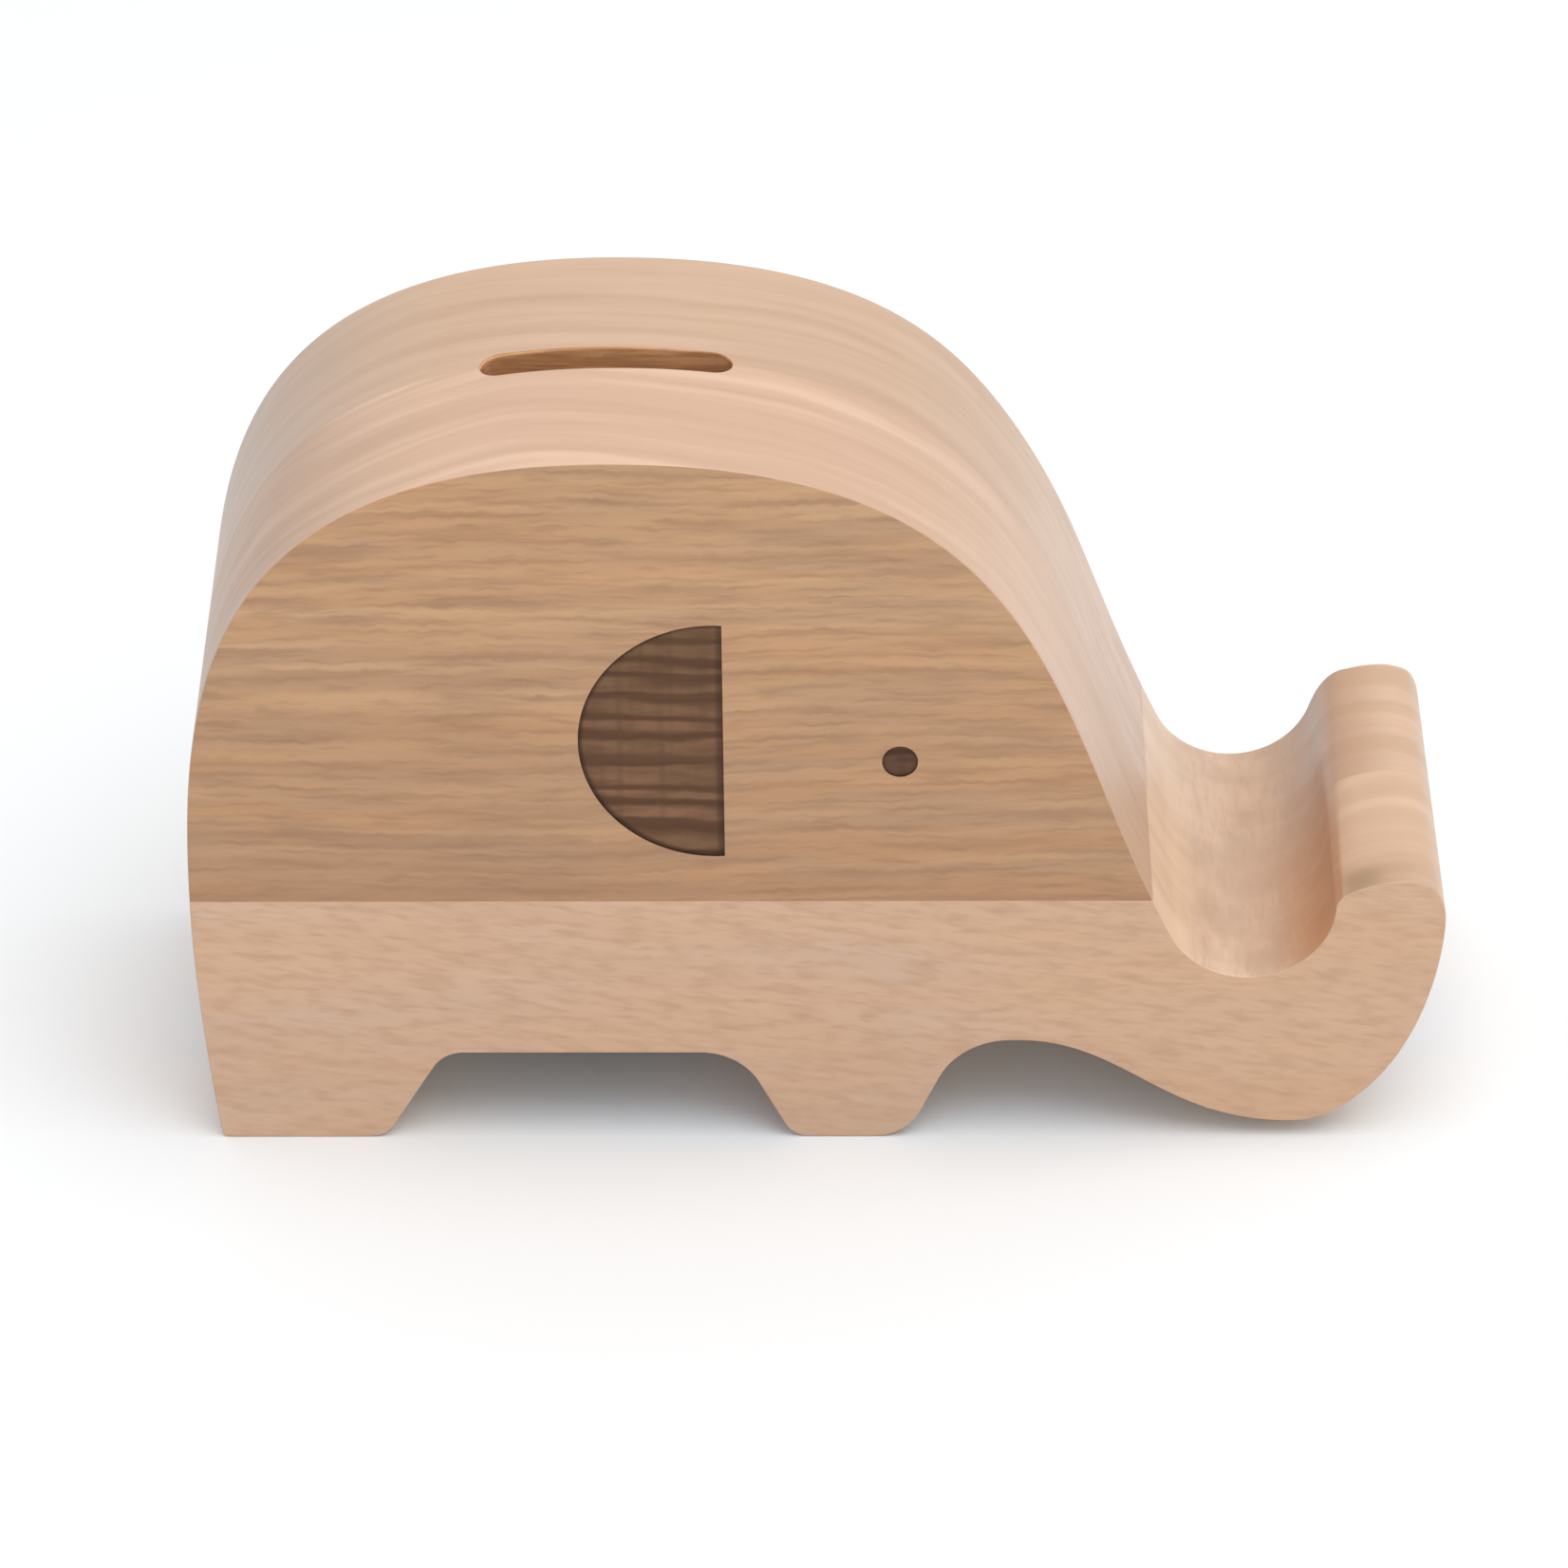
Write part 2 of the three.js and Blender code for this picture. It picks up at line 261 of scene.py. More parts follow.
def softened(points):
    """The same closed outline with its sharp corners taken off by a hair."""
    out = []
    for i, tip in enumerate(points):
        before, after = points[i - 1], points[(i + 1) % len(points)]
        d1 = Vector(tip) - Vector(before)
        d2 = Vector(after) - Vector(tip)
        if d1.angle(d2) < SHARP_CORNER:
            out.append(tip)
        else:
            reach = min(EDGE_RADIUS, CORNER_SHARE * d1.length, CORNER_SHARE * d2.length)
            out += rounded_corner(before, tip, after, reach)
    return out


def without_repeats(points):
    return [p for i, p in enumerate(points) if math.dist(p, points[i - 1]) > SAME_POINT]


def normals_of(points):
    """The outward direction at each point of an anticlockwise outline."""
    out = []
    for i, p in enumerate(points):
        before, after = Vector(points[i - 1]), Vector(points[(i + 1) % len(points)])
        along = (Vector(p) - before).normalized() + (after - Vector(p)).normalized()
        out.append(Vector((along.y, -along.x)).normalized())
    return out


# --- Boards ------------------------------------------------------------------------------------


def board_outlines():
    """The outlines of the lower and the upper boards: points, ways inwards and moves at the rear."""
    points = without_repeats(softened(body_outline()))
    normals = normals_of(points)
    crossings = []
    for i, p in enumerate(points):
        q = points[(i + 1) % len(points)]
        if p[0] < CRADLE["x"] and (p[1] - GLUE_LINE) * (q[1] - GLUE_LINE) < 0:
            t = (GLUE_LINE - p[1]) / (q[1] - p[1])
            crossings.append((i, (p[0] + t * (q[0] - p[0]), GLUE_LINE)))
    (i_brow, brow), (i_rump, rump) = crossings
    # along the seam the edge is softened only by sliding its end, so that both boards stay flush
    brow_in = Vector((-1 / abs(normals[i_brow].x), 0))
    rump_in = Vector((1 / abs(normals[i_rump].x), 0))
    inward = [(p, -n, move) for p, n, move in zip(points, normals, sanding(points))]
    seam = [(brow, brow_in, Vector((0, 0))), (rump, rump_in, Vector((0, 0)))]
    upper = seam[:1] + inward[i_brow + 1:i_rump + 1] + seam[1:]
    lower = inward[i_rump + 1:] + inward[:i_brow + 1] + seam
    return {"lower": lower, "upper": upper}


OUTSIDE, MILLED, BURNT, SCORCHED = range(4)  # the material slots of every board and cutter


def as_object(name, bm):
    """An object in the scene, made of a finished bmesh."""
    mesh = bpy.data.meshes.new(name)
    bm.to_mesh(mesh)
    bm.free()
    thing = bpy.data.objects.new(name, mesh)
    bpy.context.scene.collection.objects.link(thing)
    return thing


def loft(name, rings, side_slot=OUTSIDE, end_slot=OUTSIDE):
    """A closed mesh through rings of points in millimetres, all with the same count."""
    bm = bmesh.new()
    loops = [[bm.verts.new([c * MM for c in p]) for p in ring] for ring in rings]
    for a, b in zip(loops, loops[1:]):
        for i in range(len(a)):
            j = (i + 1) % len(a)
            bm.faces.new((a[i], a[j], b[j], b[i])).material_index = side_slot
    bm.faces.new(loops[0]).material_index = end_slot
    bm.faces.new(loops[-1]).material_index = end_slot
    bmesh.ops.recalc_face_normals(bm, faces=bm.faces)
    thing = as_object(name, bm)
    for _ in (OUTSIDE, MILLED, BURNT, SCORCHED):
        thing.data.materials.append(None)
    return thing


def eased_step(value, low, high):
    """0 up to low, 1 from high on, with a smooth rise between them."""
    t = min(1.0, max(0.0, (value - low) / (high - low)))
    return t * t * (3 - 2 * t)


def sanding(points):
    """How far each point of the rear face's outline is from the same point of the front's."""
    target = [Vector(p) for p in points]
    for point in target:
        if point.x < CRADLE["x"] - CRADLE["radius"]:
            side = "rump" if point.x < CROWN["x"] else "brow"
            point.x = max(RUMP["x"], point.x + LEAN["shift"] * eased_step(point.y, *LEAN[side]))
        if point.x > TIP_EDGE["x"] and point.y > TIP_EDGE["z"]:
            rise = eased_step(point.x, TIP_EDGE["x"] - 1, TIP_EDGE["x"] + 3)
            fall = eased_step(point.x, TIP["x"] + 2, TIP["x"] + 5)
            point.y -= WORN["depth"] * rise * (1 - fall)
    tip = [i for i, p in enumerate(points) if p[0] > TIP_EDGE["x"] and p[1] > TIP_EDGE["z"]]
    start = next(i for i in tip if points[i][0] < WORN["top"] and points[i + 1][0] < points[i][0])
    end = next(i for i in range(start, len(points)) if points[i][1] < WORN["wall"])
    a, b = target[start], target[end]
    for i in range(start, end + 1):
        t = (i - start) / (end - start)
        target[i] = (1 - t) ** 2 * a + 2 * t * (1 - t) * Vector(WORN["corner"]) + t * t * b
    return [moved - Vector(p) for moved, p in zip(target, points)]


def board_blank(name, side, outline):
    """A board before it is machined, with softened edges round its outer face."""
    rings = []
    for k in range(EDGE_STEPS + 1):
        angle = math.pi / 2 * k / EDGE_STEPS
        rings.append((FACE - EDGE_RADIUS * (1 - math.cos(angle)), EDGE_RADIUS * (1 - math.sin(angle))))
    for k in range(1, DEPTH_STEPS + 1):
        rings.append(((FACE - EDGE_RADIUS) * (1 - k / DEPTH_STEPS), 0))
    layers = []
    for y, inset in rings:
        share = (side * y + FACE) / DEPTH
        moved = [(Vector(p) + d * inset + sanded * share) for p, d, sanded in outline]
        layers.append([(p.x, side * y, p.y) for p in moved])
    return loft(name, layers)


def prism(name, outline, low, high, side_slot, end_slot):
    """An outline in X and Z, solid from y = low to y = high."""
    return loft(name, [[(x, y, z) for x, z in outline] for y in (low, high)], side_slot, end_slot)


def chamber_outline():
    """The chamber, with its floor's corners as round as the milling cutter."""
    floor = CHAMBER_FLOOR + CUTTER_RADIUS
    points = arc(RUMP["x"] + WALL + CUTTER_RADIUS, floor, CUTTER_RADIUS, math.pi, 1.5 * math.pi)
    points += arc(CHAMBER_END[0] - CUTTER_RADIUS, floor, CUTTER_RADIUS, 1.5 * math.pi, 2 * math.pi)
    points += [CHAMBER_END] + back(CHAMBER_END, WALL)
    return without_repeats(points)


def ear_outline():
    half = math.acos((EAR["edge"] - EAR["x"]) / EAR["radius"])
    return arc(EAR["x"], EAR["z"], EAR["radius"], half, 2 * math.pi - half)


def eye_outline():
    return arc(EYE["x"], EYE["z"], EYE["radius"], 0, 2 * math.pi)[:-1]


def height_of_back():
    """A function that gives the height of the back over any x near the slot."""
    line = sorted(p for p in body_outline() if p[1] > HEIGHT / 2)

    def height(x):
        for a, b in zip(line, line[1:]):
            if a[0] <= x <= b[0]:
                return a[1] + (b[1] - a[1]) * (x - a[0]) / (b[0] - a[0])
        return HEIGHT

    return height


def slot_cutter():
    """The coin slot, with its rim eased where it meets the curved back."""
    height = height_of_back()
    reach = (SLOT["length"] - SLOT["width"]) / 2
    levels = [(-SLOT_DEPTH, 0)]
    for k in range(EDGE_STEPS + 1):
        angle = math.pi / 2 * k / EDGE_STEPS
        levels.append((-SLOT_EASE * (1 - math.sin(angle)), SLOT_EASE * (1 - math.cos(angle))))
    levels.append((OVERSHOOT["slot"], SLOT_EASE))
    rings = []
    for rise, extra in levels:
        scale = 1 + extra / (SLOT["width"] / 2)
        plan = []
        for end in (1, -1):
            middle = SLOT["x"] + end * reach
            start = -end * math.pi / 2
            turn = arc(middle, 0, SLOT["width"] / 2, start, start + math.pi)
            plan += [(middle + (x - middle) * scale, y * scale) for x, y in turn]
            plan += straight(plan[-1], (SLOT["x"] - end * reach, plan[-1][1]))[:-1]
        rings.append([(x, y, height(x) + rise) for x, y in plan])
    return loft("slot_cutter", rings, MILLED, MILLED)


def hole_cutter():
    """The hole in the belly, with a small chamfer round its rim."""
    circle = arc(HOLE_X, 0, HOLE_RADIUS, 0, 2 * math.pi)[:-1]
    levels = [
        (BELLY - OVERSHOOT["belly"], HOLE_EASE),
        (BELLY, HOLE_EASE),
        (BELLY + HOLE_EASE, 0),
        (CHAMBER_FLOOR + OVERSHOOT["chamber"], 0),
    ]
    rings = []
    for z, extra in levels:
        scale = (HOLE_RADIUS + extra) / HOLE_RADIUS
        rings.append([(HOLE_X + (x - HOLE_X) * scale, y * scale, z) for x, y in circle])
    return loft("hole_cutter", rings, MILLED, MILLED)


def combine(thing, others, operation):
    """Cuts the other objects out of this one or joins them to it, and applies the result."""
    for other in others:
        modifier = thing.modifiers.new("boolean", "BOOLEAN")
        modifier.operation = operation
        modifier.solver = "EXACT"
        modifier.object = other
    settle(thing)


def settle(thing):
    """Replaces an object's mesh by what its modifiers make of it."""
    depsgraph = bpy.context.evaluated_depsgraph_get()
    made = bpy.data.meshes.new_from_object(thing.evaluated_get(depsgraph))
    thing.modifiers.clear()
    thing.data = made


def smooth(thing, angle=28):
    """Smooth shading along curves, flat faces kept flat and real edges kept sharp."""
    thing.data.shade_smooth()
    thing.data.set_sharp_from_angle(angle=math.radians(angle))
    modifier = thing.modifiers.new("normals", "WEIGHTED_NORMAL")
    modifier.keep_sharp = True
    modifier.weight = 90
    settle(thing)


# --- Stopper -----------------------------------------------------------------------------------

FLANGE_RADIUS = (STOPPER_HIGH[0] - STOPPER_LOW[0]) / 2
PLUG_RADIUS = 14.7
PLUG_HEIGHT = STOPPER_HIGH[2] - BELLY
PLUG_WALL = 3
PLUG_FLOOR = 2
RIB = {"heights": (3.8, 7.2), "reach": 0.15, "rise": 1}
DISH = {"radius": 12.5, "depth": 1}
GRIP = {"length": 22, "width": 3.6}
CROSS = {"thickness": 2, "low": 0.5, "high": 8.5, "ease": 0.3}
RUBBER_EASE = 0.5  # rounding of the moulded rubber's edges
RUBBER_SHARP_ANGLE = 40
ROUND_STEPS = 96


def eased(profile, radius):
    """A profile of radius and height with its corners rounded."""
    out = [profile[0]]
    for before, tip, after in zip(profile, profile[1:], profile[2:]):
        sides = math.dist(before, tip), math.dist(tip, after)
        reach = min(radius, *(CORNER_SHARE * side for side in sides))
        out += rounded_corner(before, tip, after, reach)
    return out + [profile[-1]]


def stopper_profile():
    """Radius and height along the stopper's skin, from its dished face up and into its cup."""
    under = -FLANGE_THICKNESS
    inner = PLUG_RADIUS - PLUG_WALL
    side = []
    for middle in RIB["heights"]:
        side += [
            (PLUG_RADIUS, middle - RIB["rise"]),
            (PLUG_RADIUS + RIB["reach"], middle),
            (PLUG_RADIUS, middle + RIB["rise"]),
        ]
    return [
        (0, under + DISH["depth"]),
        (DISH["radius"] - DISH["depth"], under + DISH["depth"]),
        (DISH["radius"], under),
        (FLANGE_RADIUS, under),
        (FLANGE_RADIUS, 0),
        (PLUG_RADIUS, 0),
        *side,
        (PLUG_RADIUS, PLUG_HEIGHT),
        (inner, PLUG_HEIGHT),
        (inner, PLUG_FLOOR),
        (0, PLUG_FLOOR),
    ]


def turned(name, profile):
    """A closed mesh of a profile turned round the hole's axis."""
    bm = bmesh.new()
    rings = []
    for radius, height in profile:
        z = (BELLY + height) * MM
        if radius == 0:
            rings.append([bm.verts.new((HOLE_X * MM, 0, z))] * ROUND_STEPS)
            continue
        ring = []
        for k in range(ROUND_STEPS):
            angle = 2 * math.pi * k / ROUND_STEPS
            x, y = HOLE_X + radius * math.cos(angle), radius * math.sin(angle)
            ring.append(bm.verts.new((x * MM, y * MM, z)))
        rings.append(ring)
    for a, b in zip(rings, rings[1:]):
        for k in range(ROUND_STEPS):
            j = (k + 1) % ROUND_STEPS
            corners = [a[k], a[j], b[j], b[k]]
            bm.faces.new([v for i, v in enumerate(corners) if v not in corners[:i]])
    bmesh.ops.recalc_face_normals(bm, faces=bm.faces)
    return as_object(name, bm)


def soft_block(name, low, high, ease):
    """A box in millimetres, measured from the belly at the hole, with rounded edges."""
    bm = bmesh.new()
    bmesh.ops.create_cube(bm, size=1)
    for vert in bm.verts:
        place = [a + (b - a) * (c + 0.5) for a, b, c in zip(low, high, vert.co)]
        vert.co = Vector((HOLE_X + place[0], place[1], BELLY + place[2])) * MM
    edges = list(bm.edges)
    bmesh.ops.bevel(bm, geom=edges, offset=ease * MM, segments=3, profile=0.5, affect="EDGES")
    return as_object(name, bm)


def build_stopper():
    """The flanged cup, with a grip across its face and a cross web inside."""
    plug = turned("soft_stopper", eased(stopper_profile(), RUBBER_EASE))
    reach = PLUG_RADIUS - PLUG_WALL / 2
    half = CROSS["thickness"] / 2
    low, high, ease = CROSS["low"], CROSS["high"], CROSS["ease"]
    grip_x, grip_y = GRIP["length"] / 2, GRIP["width"] / 2
    stiffeners = [
        soft_block("grip", (-grip_x, -grip_y, -FLANGE_THICKNESS), (grip_x, grip_y, 0), RUBBER_EASE),
        soft_block("web_x", (-reach, -half, low), (reach, half, high), ease),
        soft_block("web_y", (-half, -reach, low), (half, reach, high), ease),
    ]
    combine(plug, stiffeners, "UNION")
    for stiffener in stiffeners:
        bpy.data.objects.remove(stiffener)
    smooth(plug, RUBBER_SHARP_ANGLE)
    return plug


# --- Materials ---------------------------------------------------------------------------------

COAT_ROUGHNESS = 0.35
BUMP_DISTANCE = 0.0002  # metres


class Nodes:
    """A short way to write a shader: each call adds a node and returns its output."""

    def __init__(self, name):
        self.material = bpy.data.materials.new(name)
        self.material.use_nodes = True
        self.tree = self.material.node_tree
        self.tree.nodes.clear()

    def add(self, kind, inputs=(), **settings):
        node = self.tree.nodes.new(kind)
        for key, value in settings.items():
            setattr(node, key, value)
        for key, value in dict(inputs).items():
            self.feed(node.inputs[key], value)
        return node.outputs[0]

    def feed(self, socket, value):
        if isinstance(value, bpy.types.NodeSocket):
            self.tree.links.new(value, socket)
        else:
            socket.default_value = value

    def math(self, operation, a, b=0.0):
        return self.add("ShaderNodeMath", {0: a, 1: b}, operation=operation)

    def chain(self, operation, values):
        """The operation on the first two values, then on its result and the next value."""
        result, *others = values
        for value in others:
            result = self.math(operation, result, value)
        return result

    def total(self, *values):
        return self.chain("ADD", values)

    def product(self, *values):
        return self.chain("MULTIPLY", values)

    def vector(self, x, y, z):
        return self.add("ShaderNodeCombineXYZ", {0: x, 1: y, 2: z})

    def noise(self, vector, scale=1.0, detail=2.0, rough=0.5):
        settings = {"Vector": vector, "Scale": scale, "Detail": detail, "Roughness": rough}
        return self.add("ShaderNodeTexNoise", settings, noise_dimensions="3D")

    def ramp(self, value, low, high, to_low=0.0, to_high=1.0):
        """A smooth rise from to_low to to_high as the value goes from low to high."""
        settings = {
            "Value": value, "From Min": low, "From Max": high, "To Min": to_low, "To Max": to_high,
        }
        return self.add("ShaderNodeMapRange", settings, interpolation_type="SMOOTHSTEP")

    def share(self, value, low, high, most):
        """A rise from 0 to 'most' as the value goes from low to high."""
        return self.ramp(value, low, high, 0.0, most)

    def distance(self, values, centre):
        """How far two coordinates are from a centre."""
        steps = [self.math("SUBTRACT", value, middle) for value, middle in zip(values, centre)]
        return self.math("SQRT", self.total(*(self.product(step, step) for step in steps)))

    def mix(self, share, a, b):
        """A mix of two colours."""
        node = self.tree.nodes.new("ShaderNodeMix")
        node.data_type = "RGBA"
        self.feed(node.inputs["Factor"], share)
        for key, value in (("A", a), ("B", b)):
            socket = next(s for s in node.inputs if s.name == key and s.type == "RGBA")
            self.feed(socket, value)
        return next(s for s in node.outputs if s.type == "RGBA")

    def blend(self, share, a, b):
        """A mix of two numbers."""
        node = self.tree.nodes.new("ShaderNodeMix")
        node.data_type = "FLOAT"
        self.feed(node.inputs[0], share)
        self.feed(node.inputs[2], a)
        self.feed(node.inputs[3], b)
        return node.outputs[0]

    def finish(self, colour, roughness, height, bump, specular, distance=BUMP_DISTANCE, coat=0.0):
        """Ends the shader with this colour, roughness and height of its surface."""
        shader = self.tree.nodes.new("ShaderNodeBsdfPrincipled")
        self.feed(shader.inputs["Base Color"], colour)
        self.feed(shader.inputs["Roughness"], roughness)
        shader.inputs["Specular IOR Level"].default_value = specular
        shader.inputs["Coat Weight"].default_value = coat
        shader.inputs["Coat Roughness"].default_value = COAT_ROUGHNESS
        relief = {"Height": height, "Strength": bump, "Distance": distance}
        self.feed(shader.inputs["Normal"], self.add("ShaderNodeBump", relief))
        output = self.tree.nodes.new("ShaderNodeOutputMaterial")
        self.tree.links.new(shader.outputs[0], output.inputs[0])
        return self.material


def linear(red, green, blue):
    """A colour given in 0 to 255, as the shader wants it."""
    def channel(value):
        value /= 255
        return value / 12.92 if value <= 0.04045 else ((value + 0.055) / 1.055) ** 2.4
    return (channel(red), channel(green), channel(blue), 1.0)


def place(nodes, shift=(0, 0, 0)):
    """The point in millimetres, moved by 'shift' into other wood, and the way the surface faces."""
    coordinates = nodes.tree.nodes.new("ShaderNodeTexCoord")
    in_mm = {0: coordinates.outputs["Object"], "Scale": 1 / MM}
    point = nodes.add("ShaderNodeVectorMath", in_mm, operation="SCALE")
    moved = nodes.add("ShaderNodeVectorMath", {0: point, 1: shift}, operation="ADD")
    split = nodes.tree.nodes.new("ShaderNodeSeparateXYZ")
    nodes.tree.links.new(moved, split.inputs[0])
    facing = nodes.tree.nodes.new("ShaderNodeSeparateXYZ")
    nodes.tree.links.new(coordinates.outputs["Normal"], facing.inputs[0])
    return split.outputs, facing.outputs


def moved_by(nodes, point, shift):
    """The point in a board's own wood."""
    return [nodes.total(value, step) for value, step in zip(point, shift)]


def stretched(nodes, x, z, along, across, seed):
    """A point for streaks that run along X. It changes 'along' and 'across' them per millimetre."""
    return nodes.vector(nodes.product(x, along), seed, nodes.product(z, across))


def scaled(nodes, x, y, z, scale):
    """A point with a scale of its own on each axis, per mm."""
    return nodes.vector(*(nodes.product(value, share) for value, share in zip((x, y, z), scale)))


def face_grain(nodes, x, z, look):
    """Bands, flecks and pores on the sawn faces, as streaks that run along X with small ripples."""
    slow = nodes.noise(stretched(nodes, x, z, 0.012, 0.02, 0), detail=1)
    ripple = nodes.noise(stretched(nodes, x, z, look["wave"], 0.25, 3))
    ripples = nodes.product(ripple, look["ripple"])
    height = nodes.total(z, nodes.product(slow, 8.0), ripples, nodes.product(x, look["slant"]))
    bands = nodes.noise(stretched(nodes, x, height, 0.006, 0.3, 0))
    flecks = nodes.noise(stretched(nodes, x, height, look["fleck"], 0.62, 7))
    pores = nodes.noise(stretched(nodes, x, height, look["pore"], 1.1, 11), detail=1)
    return bands, flecks, pores


def edge_grain(nodes, x, y, z):
    """Ring lines, fibres and soft patches on the sanded edges, all running with the edge."""
    drift = nodes.noise(stretched(nodes, x, z, 0.014, 0.014, 5), detail=1)
    wander = nodes.noise(scaled(nodes, x, y, z, (0.06, 0.06, 0.06)), detail=1)
    across = nodes.total(y, nodes.product(drift, 20.0), nodes.product(wander, 2.0))
    rings = nodes.noise(scaled(nodes, x, across, z, (0.005, 0.24, 0.005)), detail=1)
    fibres = nodes.noise(scaled(nodes, x, across, z, (0.03, 0.5, 0.03)), detail=1)
    mottle = nodes.noise(scaled(nodes, x, across, z, (0.035, 0.2, 0.05)), detail=3, rough=0.55)
    return rings, fibres, mottle


def face_colour(nodes, x, z, body_x, height, look):
    """The colour of a board's face, from height = 0 at its lower edge to 1 at its upper edge."""
    tones = look["tones"]
    bands, flecks, pores = face_grain(nodes, x, z, look)
    zones = nodes.noise(stretched(nodes, x, z, 0.014, look["zone"], 2))
    greys = nodes.noise(stretched(nodes, x, z, 0.02, 1.5 * look["zone"], 13))
    banded = nodes.ramp(bands, 0.5 - look["spread"], 0.5 + look["spread"])
    layers = [
        (look["band_share"], nodes.mix(banded, tones["dark"], tones["light"])),
        (nodes.share(zones, 0.4, 0.62, 0.5), tones["warm"]),
        (nodes.share(greys, 0.48, 0.66, 0.5), tones["grey"]),
        (nodes.share(body_x, 10.0, 75.0, look["trunk_share"]), tones["warm"]),
        (nodes.share(flecks, 0.42, 0.7, look["fleck_share"]), tones["fleck"]),
        (nodes.share(pores, 0.5, 0.72, look["pore_share"]), tones["pore"]),
        (nodes.product(nodes.math("SUBTRACT", 1.0, height), look["low_share"]), tones["shade"]),
    ]
    colour = nodes.mix(height, tones["low"], tones["high"])
    for share, tone in layers:
        colour = nodes.mix(share, colour, tone)
    return colour, nodes.blend(0.5, flecks, pores)


MARKS = {
    "tip_shade": linear(172, 132, 102), "tip_front": linear(150, 112, 78),
    "spot": linear(150, 118, 84), "seam": linear(160, 112, 74),
}
SPOT = (82.6, -29.8)  # X and Y of a small dark fleck on the trunk's tip


def bowl_colour(nodes, x, y, z, tones):
    """The bowl inside the trunk's curl: patchy, scratched across, and darker towards the tip, with
    painted shade and painted warm bounce light on its right wall.
    """
    patches = nodes.noise(scaled(nodes, x, y, z, (0.07, 0.05, 0.12)), detail=3, rough=0.6)
    scratches = nodes.noise(scaled(nodes, x, y, z, (0.9, 0.16, 0.9)), detail=3, rough=0.65)
    colour = nodes.mix(nodes.ramp(patches, 0.35, 0.65), tones["bowl_light"], tones["bowl_dark"])
    colour = nodes.mix(nodes.share(scratches, 0.45, 0.7, 0.5), colour, tones["edge_fibre"])
    return nodes.mix(nodes.share(x, 60.0, 73.0, 0.4), colour, tones["bowl_painted_shade"])


def tip_colour(nodes, x, y, z, colour, look):
    """The top of the trunk's tip: shaded towards its inner edge, with a dark front end and a fleck."""
    edge_x, edge_z = TIP_EDGE["x"], TIP_EDGE["z"]
    crest = nodes.product(nodes.ramp(z, edge_z - 2, edge_z), look["tip_shade"])
    crest = nodes.product(crest, nodes.ramp(x, TIP["x"] + 1, edge_x + 2))
    colour = nodes.mix(crest, colour, MARKS["tip_shade"])
    on_top = nodes.ramp(z, edge_z - 1, edge_z + 1)
    front_end = nodes.product(
        on_top,
        nodes.share(y, -23.5, -29.0, 0.75),
        nodes.ramp(x, 94.0, 78.0, 0.3, 1.0),
        nodes.ramp(x, edge_x - 2, edge_x),
    )
    colour = nodes.mix(front_end, colour, MARKS["tip_front"])
    spot = nodes.share(nodes.distance((x, y), SPOT), 4.0, 0.5, 0.6)
    return nodes.mix(nodes.product(on_top, spot), colour, MARKS["spot"])


def edge_colour(nodes, local, point, nx, nz, look):
    """The colour of a board's edge, from the point in its own wood and the point in the body."""
    tones = look["tones"]
    rings, fibres, mottle = edge_grain(nodes, *local)
    x, y, z = point
    ringed = nodes.mix(nodes.ramp(rings, 0.36, 0.64), tones["edge_light"], tones["edge_dark"])
    ringed = nodes.mix(nodes.share(fibres, 0.4, 0.7, 0.3), ringed, tones["edge_fibre"])
    plain = nodes.share(mottle, 0.35, 0.68, 0.6)
    plain = nodes.mix(plain, tones["edge_light"], tones["edge_dark"])
    clear = nodes.ramp(nz, 0.35, 0.95, 0.12, look["ring_share"])
    colour = nodes.mix(clear, plain, ringed)

    radius = CRADLE["radius"]
    from_middle = nodes.distance((x, z), (CRADLE["x"], CRADLE["z"]))
    hollow = nodes.share(from_middle, radius + 1.4, radius + 0.4, 0.8)
    colour = nodes.mix(hollow, colour, bowl_colour(nodes, x, y, z, tones))

    # Sides that face the rump take end grain tones that are partly painted light: painted shade in the
    # tone towards the front face, painted sheen in the greyer tone towards the rear.
    end_grain_and_painted_light = nodes.mix(nodes.ramp(y, *look["end_fade"]), tones["end_grain_and_shade_front"], tones["end_grain_and_sheen_rear"])
    end_grain_and_painted_light = nodes.mix(nodes.share(mottle, 0.38, 0.66, 0.3), end_grain_and_painted_light, colour)
    backwards = nodes.product(nx, -1.0)
    facing_back = nodes.share(backwards, look["end_from"], look["end_to"], look["end_share"])
    colour = nodes.mix(facing_back, colour, end_grain_and_painted_light)

    # Painted light: sides that face the trunk are painted paler, as a painted highlight on the upper
    # boards' sloping forehead and as painted light on the lower boards, such as the bowl's left wall.
    painted_light_mask = nodes.product(
        nodes.share(nx, 0.4, 0.9, look["painted_light_share"]),
        nodes.ramp(z, *look["painted_light_rise"], 0.2, 1.0),
        nodes.ramp(x, TIP["x"], TIP_EDGE["x"]),
    )
    painted_light_colour = nodes.mix(nodes.share(mottle, 0.42, 0.7, 0.3), tones["painted_light_tone"], tones["edge_fibre"])
    colour = nodes.mix(painted_light_mask, colour, painted_light_colour)
    return tip_colour(nodes, x, y, z, colour, look), nodes.blend(0.5, rings, fibres)


